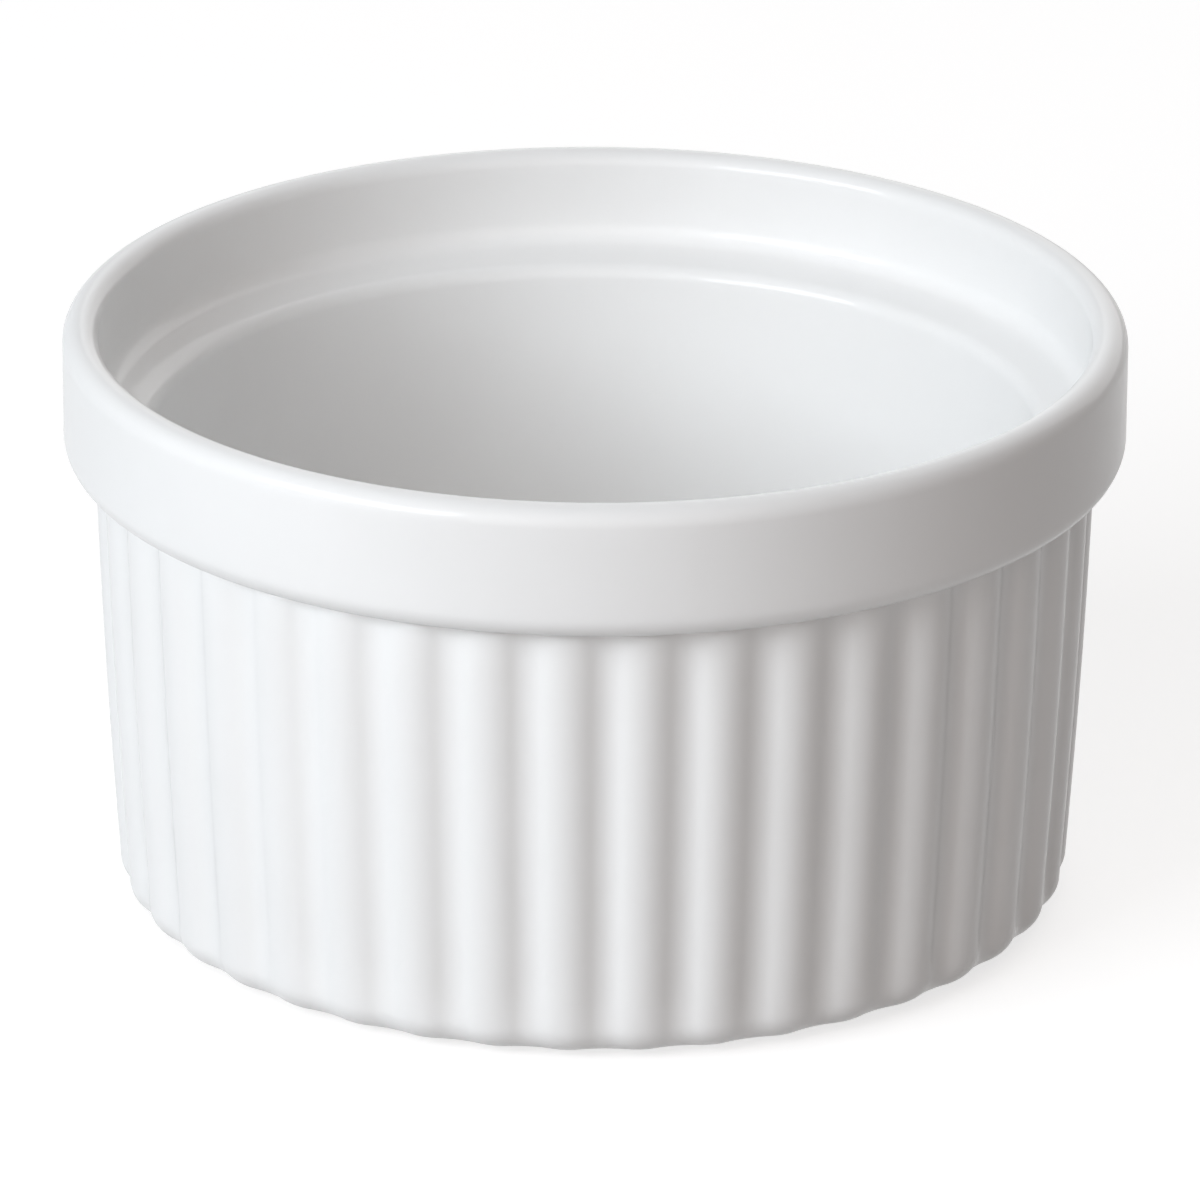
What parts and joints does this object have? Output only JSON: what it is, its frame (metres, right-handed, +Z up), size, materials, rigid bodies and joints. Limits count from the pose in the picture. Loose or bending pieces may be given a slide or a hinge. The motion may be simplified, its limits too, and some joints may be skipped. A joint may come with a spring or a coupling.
{
  "type": "ramekin",
  "caption": "Round white porcelain baking dish with a plain raised collar, a fluted outer wall, a stacking ledge inside the collar and a bare foot ring.",
  "frame": {"origin": "middle of the foot ring's resting plane, at the bottom of the dish", "axes": "+Z up along the dish's axis; a groove between two ribs lies on +X"},
  "size_m": [0.09, 0.09, 0.051],
  "materials": {
    "bare_porcelain": "fired white porcelain, fine matt, bare on the foot ring",
    "glaze": "smooth white gloss glaze"
  },
  "bodies": {
    "root": {"porcelain_body": "bare_porcelain", "glaze_coat": "glaze", "base_glaze": "glaze"}
  },
  "joints": []
}
